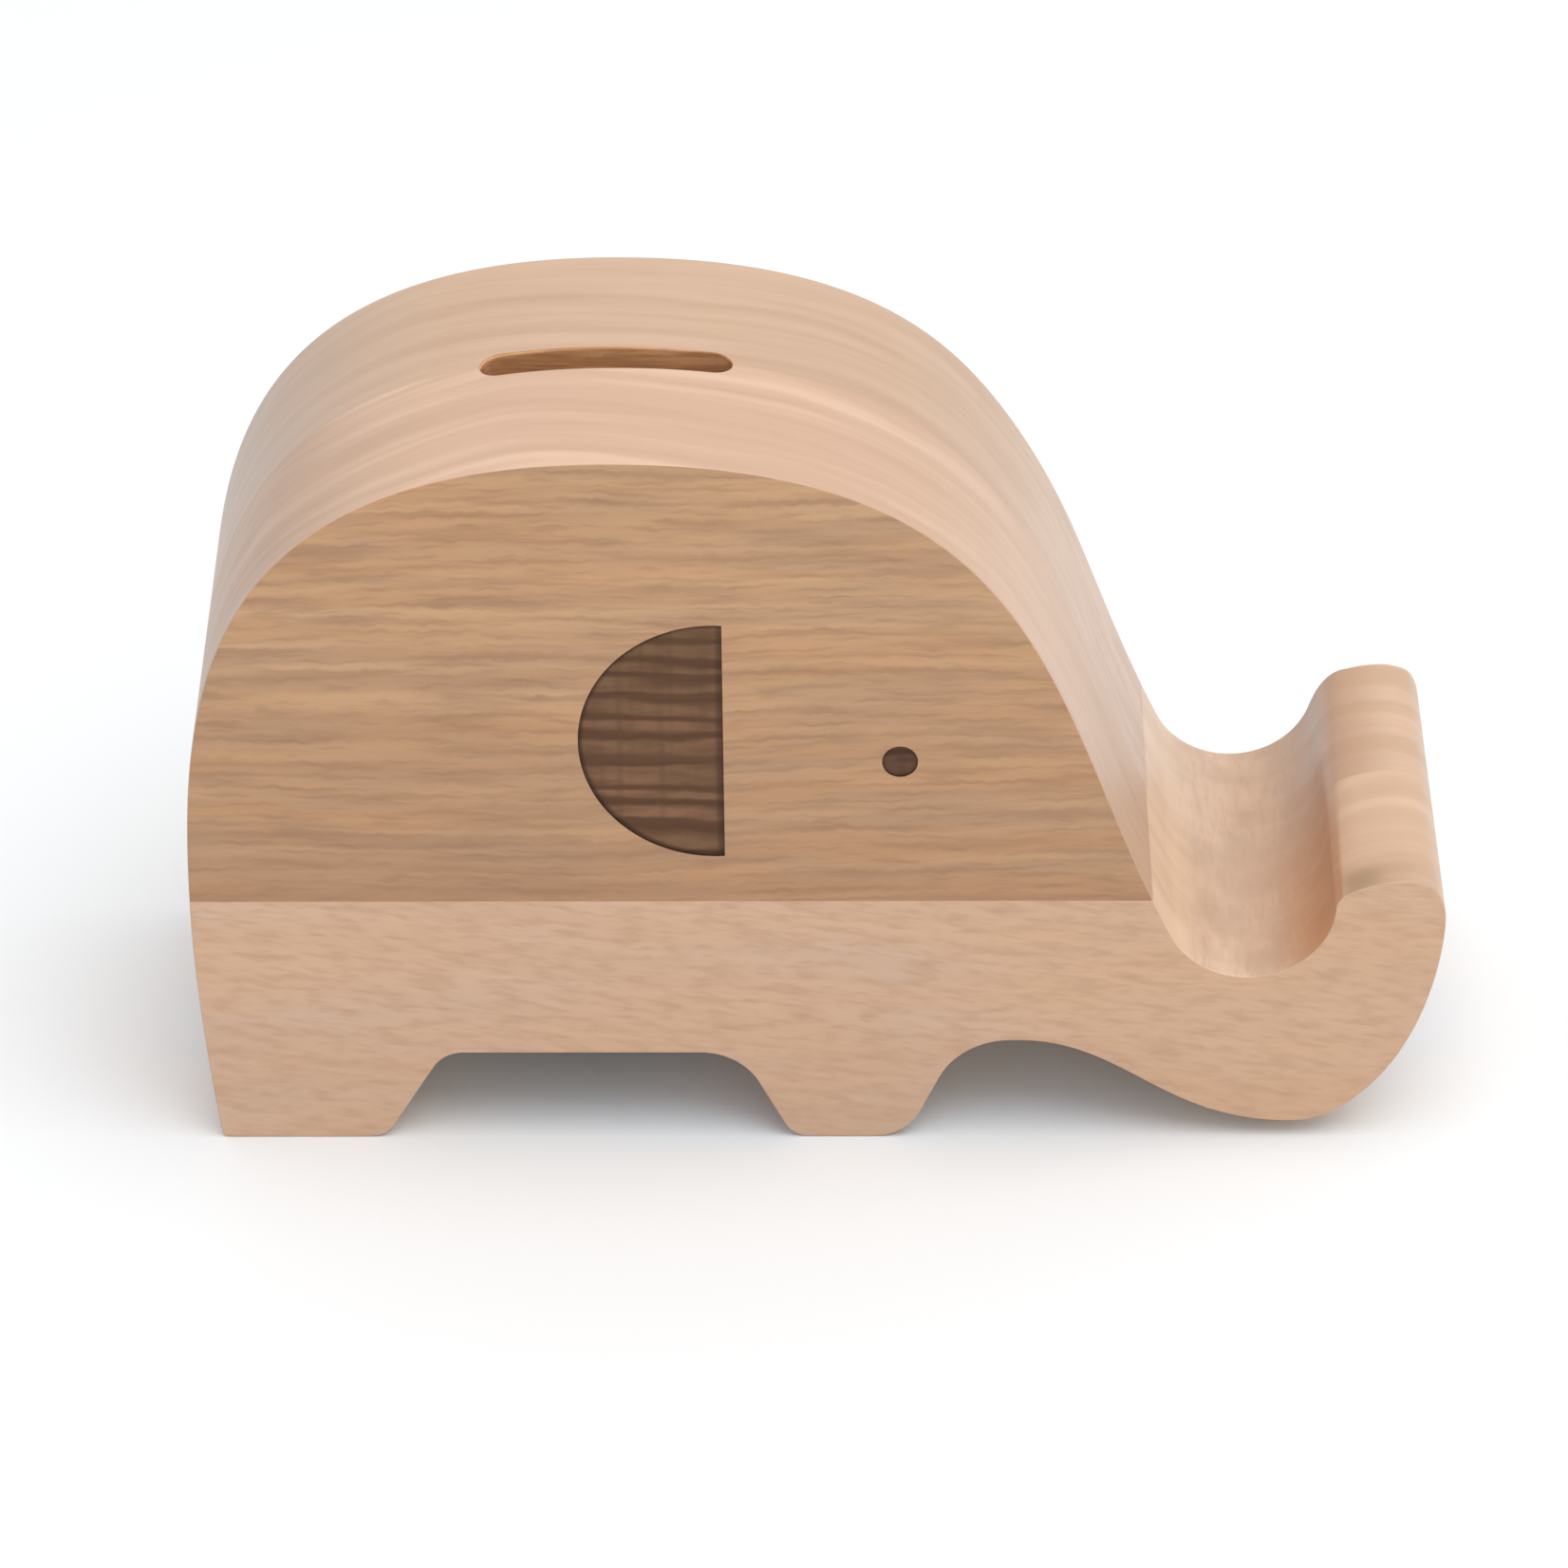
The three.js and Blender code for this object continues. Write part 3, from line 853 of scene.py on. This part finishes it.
def beech(name, look):
    """Sanded and waxed beech. look["tones"] names its colours."""
    nodes = Nodes(name)
    point, (nx, ny, nz) = place(nodes)
    local = moved_by(nodes, point, look["shift"])
    height = nodes.ramp(point[2], *look["span"])
    face, face_relief = face_colour(nodes, local[0], local[2], point[0], height, look)
    streak = nodes.noise(stretched(nodes, local[0], local[2], 0.03, 0.3, 17))
    above = nodes.math("SUBTRACT", point[2], nodes.product(streak, 7.0))
    seam = nodes.share(above, GLUE_LINE + 1, GLUE_LINE - 4, look["seam_share"])
    face = nodes.mix(seam, face, MARKS["seam"])
    edge, edge_relief = edge_colour(nodes, local, point, nx, nz, look)
    on_face = nodes.ramp(nodes.math("ABSOLUTE", ny), 0.6, 0.9)
    colour = nodes.mix(on_face, edge, face)
    relief = nodes.blend(on_face, edge_relief, face_relief)
    roughness = nodes.ramp(relief, 0.3, 0.7, 0.4, 0.52)
    return nodes.finish(
        colour, roughness, relief, bump=0.12, specular=0.5, distance=0.0003, coat=0.3
    )


BURNT_TONES = {
    "band": linear(82, 55, 37), "red": linear(137, 99, 76), "olive": linear(122, 91, 66),
    "streak": linear(90, 61, 43), "column": linear(86, 62, 46),
    "rim": linear(58, 40, 30), "flat_rim": linear(62, 43, 32),
}


def burnt_wood(name, shift):
    """Wood browned by a laser: the rings stay visible, and the rim of the ear is darkest."""
    nodes = Nodes(name)
    point, _ = place(nodes)
    x, y, z = moved_by(nodes, point, shift)
    warp = nodes.noise(stretched(nodes, x, z, 0.12, 0.2, 3))
    height = nodes.total(z, nodes.product(warp, 1.6))
    drift = nodes.noise(stretched(nodes, x, height, 0.014, 0.12, 0))
    turn = nodes.total(nodes.product(height, 1.7), nodes.product(drift, 22.0))
    waves = nodes.ramp(nodes.math("SINE", turn), -1.0, 1.0)
    bands = nodes.noise(stretched(nodes, x, height, 0.014, 0.5, 0), detail=1)
    bands = nodes.blend(0.5, bands, waves)
    streaks = nodes.noise(stretched(nodes, x, height, 0.12, 0.6, 9))
    columns = nodes.noise(stretched(nodes, x, z, 0.5, 0.02, 4), detail=1)
    zones = nodes.noise(stretched(nodes, x, z, 0.02, 0.06, 21), detail=1)
    light = nodes.mix(nodes.ramp(zones, 0.4, 0.6), BURNT_TONES["red"], BURNT_TONES["olive"])
    from_middle = nodes.distance((point[0], point[2]), (EAR["x"], EAR["z"]))
    rim = nodes.share(from_middle, EAR["radius"] - 0.9, EAR["radius"] - 0.3, 0.6)
    flat = nodes.share(point[0], EAR["edge"] - 1.4, EAR["edge"] - 0.6, 0.45)
    beside_eye = nodes.ramp(point[0], EAR["edge"] + 5, EAR["edge"] + 6, 1.0, 0.0)
    layers = [
        (nodes.share(streaks, 0.4, 0.68, 0.45), "streak"),
        (nodes.share(columns, 0.42, 0.66, 0.3), "column"),
        (rim, "rim"),
        (nodes.product(flat, beside_eye), "flat_rim"),
    ]
    colour = nodes.mix(nodes.ramp(bands, 0.05, 0.85), BURNT_TONES["band"], light)
    for share, tone in layers:
        colour = nodes.mix(share, colour, BURNT_TONES[tone])
    relief = nodes.blend(0.5, bands, streaks)
    return nodes.finish(colour, 0.72, relief, bump=0.25, specular=0.2, distance=0.0003)


SOOT_TONES = linear(38, 26, 20), linear(66, 45, 33)


def burnt_edge(name):
    """The scorched wall round a burnt recess."""
    nodes = Nodes(name)
    (x, y, z), _ = place(nodes)
    soot = nodes.noise(nodes.vector(x, y, z), scale=0.8)
    return nodes.finish(nodes.mix(soot, *SOOT_TONES), 0.8, soot, bump=0.2, specular=0.2)


RAW_TONES = {
    "light": linear(206, 156, 112), "dark": linear(176, 126, 84), "torn": linear(150, 104, 68),
}


def raw_wood(name, shift):
    """Milled, unsanded wood inside the chamber and the slot."""
    nodes = Nodes(name)
    (x, y, z), _ = place(nodes, shift)
    cutter = nodes.noise(scaled(nodes, x, y, z, (0.25, 0.9, 0.9)), detail=3)
    rings = nodes.noise(scaled(nodes, x, y, z, (0.05, 0.5, 0.8)))
    colour = nodes.mix(nodes.ramp(rings, 0.35, 0.65), RAW_TONES["light"], RAW_TONES["dark"])
    colour = nodes.mix(nodes.share(cutter, 0.5, 0.75, 0.4), colour, RAW_TONES["torn"])
    return nodes.finish(colour, 0.75, cutter, bump=0.35, specular=0.25, distance=0.0003)


RUBBER_TONES = linear(40, 39, 38), linear(58, 56, 54)


def soft_rubber(name):
    nodes = Nodes(name)
    (x, y, z), _ = place(nodes)
    grain = nodes.noise(nodes.vector(x, y, z), scale=2.2, detail=3, rough=0.6)
    dust = nodes.noise(nodes.vector(x, y, z), scale=0.15, detail=3)
    colour = nodes.mix(nodes.ramp(dust, 0.4, 0.7), *RUBBER_TONES)
    roughness = nodes.ramp(grain, 0.3, 0.7, 0.6, 0.78)
    return nodes.finish(colour, roughness, grain, bump=0.25, specular=0.4, distance=0.0001)


# --- The four boards ---------------------------------------------------------------------------

LOWER_TONES = {
    "low": linear(191, 156, 129), "high": linear(206, 170, 142),
    "light": linear(209, 174, 146), "dark": linear(192, 154, 125), "warm": linear(206, 164, 128),
    "grey": linear(199, 168, 144), "fleck": linear(182, 143, 113), "pore": linear(176, 137, 108),
    "edge_light": linear(209, 175, 146), "edge_dark": linear(196, 160, 130),
    "edge_fibre": linear(184, 147, 117),
    "bowl_light": linear(217, 187, 161), "bowl_dark": linear(189, 160, 136),
    # the first tone below is painted shade and warm bounce light on the bowl's right wall
    "bowl_painted_shade": linear(150, 108, 76), "shade": linear(190, 155, 128),
    # end grain of the sides that face the rump, partly painted shade at the front and painted sheen at
    # the rear
    "end_grain_and_shade_front": linear(176, 120, 80), "end_grain_and_sheen_rear": linear(170, 140, 120),
    # painted light: the paler tone painted on the sides that face the trunk
    "painted_light_tone": linear(234, 204, 174),
}
UPPER_TONES = {
    "low": linear(182, 138, 101), "high": linear(199, 157, 117),
    "light": linear(201, 160, 118), "dark": linear(160, 118, 83), "warm": linear(196, 146, 100),
    "grey": linear(170, 134, 102), "fleck": linear(148, 107, 75), "pore": linear(141, 101, 71),
    "edge_light": linear(212, 177, 150), "edge_dark": linear(197, 161, 134),
    "edge_fibre": linear(180, 144, 117),
    "bowl_light": linear(211, 177, 151), "bowl_dark": linear(200, 165, 139),
    # the first tone below is painted shade and warm bounce light on the bowl's right wall
    "bowl_painted_shade": linear(150, 108, 76), "shade": linear(130, 96, 72),
    # end grain of the sides that face the rump, partly painted shade at the front and painted sheen at
    # the rear
    "end_grain_and_shade_front": linear(150, 118, 95), "end_grain_and_sheen_rear": linear(178, 156, 142),
    # painted highlight: the paler tone painted on the sides that face the trunk
    "painted_light_tone": linear(188, 156, 130),
}
REAR_UPPER_EDGES = {
    "edge_light": linear(197, 164, 136), "edge_dark": linear(182, 148, 120),
    # the last tone is the painted highlight on the sides that face the trunk
    "edge_fibre": linear(166, 131, 103), "painted_light_tone": linear(214, 187, 167),
}


def darker(tones, share):
    """The same tones, each multiplied by 'share'."""
    return {key: tuple(c * share for c in colour[:3]) + (1.0,) for key, colour in tones.items()}


# "fleck", "pore", "zone" and "wave" say how often these change per millimetre, "span", "end_fade"
# and the heights where the painted light fades are ranges in millimetres, and each "share" says how
# much of a tone is mixed in
LOWER_LOOK = {
    "span": (0, 45), "ripple": 1.0, "wave": 0.22, "spread": 0.2, "band_share": 0.4,
    "fleck": 0.16, "fleck_share": 0.5, "pore": 0.2, "pore_share": 0.3, "zone": 0.07,
    "seam_share": 0.0, "low_share": 0.0, "trunk_share": 0.45,
    # the first two set the painted light on the sides that face the trunk
    "painted_light_rise": (-10, 0), "painted_light_share": 0.85, "end_fade": (-FACE, 0.7 * FACE),
    "end_from": 0.25, "end_to": 0.9, "end_share": 0.85, "tip_shade": 0.1, "ring_share": 0.75,
}
UPPER_LOOK = {
    "span": (45, 105), "ripple": 1.3, "wave": 0.4, "spread": 0.22, "band_share": 0.55,
    "fleck": 0.04, "fleck_share": 0.5, "pore": 0.12, "pore_share": 0.3, "zone": 0.15,
    "seam_share": 0.35, "low_share": 0.13, "trunk_share": 0.0,
    # the first two set the painted highlight on the sides that face the trunk
    "painted_light_rise": (105, 55), "painted_light_share": 0.6, "end_fade": (-0.5, 0.5),
    "end_from": 0.2, "end_to": 0.95, "end_share": 0.75, "tip_shade": 0.0, "ring_share": 1.0,
}
# "shift" cuts each board from other wood, and "slant" tilts its grain
BOARDS = {
    "front_lower_board": {
        **LOWER_LOOK, "tones": LOWER_TONES, "shift": (0, 0, 0), "slant": 0.12,
    },
    "front_upper_board": {
        **UPPER_LOOK, "tones": UPPER_TONES, "shift": (310, 47, 23), "slant": -0.02,
    },
    "rear_lower_board": {
        **LOWER_LOOK, "tones": darker(LOWER_TONES, 0.96), "shift": (640, 91, 410), "slant": -0.08,
        "tip_shade": 0.7,
    },
    "rear_upper_board": {
        **UPPER_LOOK, "tones": {**darker(UPPER_TONES, 0.87), **REAR_UPPER_EDGES},
        "shift": (905, 13, 730), "slant": 0.03, "ring_share": 0.55,
    },
}


def build_cutters():
    """The shapes of the chamber, the slot, the hole and the four burnt marks, by name."""
    half = FACE - FACE_WALL
    cutters = {
        "chamber": prism("chamber_cutter", chamber_outline(), -half, half, MILLED, MILLED),
        "slot": slot_cutter(),
        "hole": hole_cutter(),
    }
    for face, side in ((-FACE, "front"), (FACE, "rear")):
        low, high = face - BURN_DEPTH, face + BURN_DEPTH
        for mark, outline in (("ear", ear_outline()), ("eye", eye_outline())):
            name = f"{side}_{mark}"
            cutters[name] = prism(name + "_cutter", outline, low, high, SCORCHED, BURNT)
    return cutters


def build_boards():
    cutters = build_cutters()
    outlines = board_outlines()
    for node, look in BOARDS.items():
        side, level, _ = node.split("_")
        board = board_blank(node + "_wood", -1 if side == "front" else 1, outlines[level])
        tools = ["hole"] if level == "lower" else ["slot", side + "_ear", side + "_eye"]
        combine(board, [cutters[tool] for tool in ["chamber"] + tools], "DIFFERENCE")
        dress_board(board, node, look)
        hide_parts(node)
        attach(board, "body")
    for cutter in cutters.values():
        bpy.data.objects.remove(cutter)


def dress_board(board, node, look):
    slots = board.data.materials
    slots[OUTSIDE] = beech(node + "_beech", look)
    slots[MILLED] = raw_wood(node + "_milled", look["shift"])
    if "upper" in node:
        slots[BURNT] = burnt_wood(node + "_burnt", look["shift"])
        slots[SCORCHED] = burnt_edge(node + "_scorched")
    else:
        slots.pop(index=SCORCHED)
        slots.pop(index=BURNT)
    smooth(board)


# --- Studio ------------------------------------------------------------------------------------

CAMERA = {
    "target": (-5.411, 0.0, 44.394), "distance": 1049.2, "elevation": 0.567232,
    "yaw": -0.0166347, "roll": -0.0103944, "lens": 155.03, "sensor": 36,
}
CAMERA_REACH = 50  # metres
KEY_LIGHT = {"spot": (0.35, -0.35, 1.5), "aim": (0, 0, 0.05), "size": 1.5, "energy": 13}
WORLD_STRENGTH = 0.86
FLOOR_REACH = 12  # metres
FLOOR_TONES = (0.78, 0.86, 0.94, 1), (0.84, 0.86, 0.875, 1)  # under the body, and further out


def add_camera():
    yaw, rise, roll = CAMERA["yaw"], CAMERA["elevation"], CAMERA["roll"]
    forward = Vector((math.sin(yaw) * math.cos(rise), math.cos(yaw) * math.cos(rise), -math.sin(rise)))
    level = Vector((math.cos(yaw), -math.sin(yaw), 0))
    above = level.cross(forward)
    right = level * math.cos(roll) + above * math.sin(roll)
    up = above * math.cos(roll) - level * math.sin(roll)
    camera = bpy.data.objects.new("camera", bpy.data.cameras.new("camera"))
    camera.data.lens = CAMERA["lens"]
    camera.data.sensor_width = CAMERA["sensor"]
    camera.data.clip_end = CAMERA_REACH
    turn = Matrix((right, up, -forward)).transposed().to_4x4()
    spot = (Vector(CAMERA["target"]) - forward * CAMERA["distance"]) * MM
    camera.matrix_world = Matrix.Translation(spot) @ turn
    bpy.context.scene.collection.objects.link(camera)
    bpy.context.scene.camera = camera


def add_key_light():
    """A large soft lamp above the front right."""
    light = bpy.data.lights.new("key", "AREA")
    light.shape = "DISK"
    light.size = KEY_LIGHT["size"]
    light.energy = KEY_LIGHT["energy"]
    spot = Vector(KEY_LIGHT["spot"])
    thing = bpy.data.objects.new("key", light)
    thing.location = spot
    thing.rotation_mode = "QUATERNION"
    thing.rotation_quaternion = (spot - Vector(KEY_LIGHT["aim"])).to_track_quat("Z", "Y")
    bpy.context.scene.collection.objects.link(thing)


def floor_paint():
    """White paint, a touch cooler right under the body, where the wood throws a warm tint on it."""
    nodes = Nodes("floor_white")
    (x, y, z), _ = place(nodes)
    reach = nodes.distance((nodes.product(x, FACE / BODY_HIGH[0]), y), (0, 0))
    colour = nodes.mix(nodes.ramp(reach, 0.8 * FACE, 1.2 * FACE), *FLOOR_TONES)
    return nodes.finish(colour, 0.9, reach, bump=0.0, specular=0.1)


def add_floor():
    mesh = bpy.data.meshes.new("floor")
    corners = [(x * FLOOR_REACH, y * FLOOR_REACH, 0) for x, y in ((-1, -1), (1, -1), (1, 1), (-1, 1))]
    mesh.from_pydata(corners, [], [(0, 1, 2, 3)])
    floor = bpy.data.objects.new("floor", mesh)
    bpy.context.scene.collection.objects.link(floor)
    mesh.materials.append(floor_paint())


def light_studio():
    world = bpy.data.worlds.new("studio")
    world.use_nodes = True
    background = world.node_tree.nodes["Background"]
    background.inputs["Color"].default_value = (1, 1, 1, 1)
    background.inputs["Strength"].default_value = WORLD_STRENGTH
    scene = bpy.context.scene
    scene.world = world
    scene.view_settings.view_transform = "Standard"
    add_key_light()


add_camera()
light_studio()
add_floor()
build_boards()
stopper = build_stopper()
stopper.data.materials.clear()
stopper.data.materials.append(soft_rubber("stopper_rubber"))
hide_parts("stopper")
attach(stopper, "stopper")
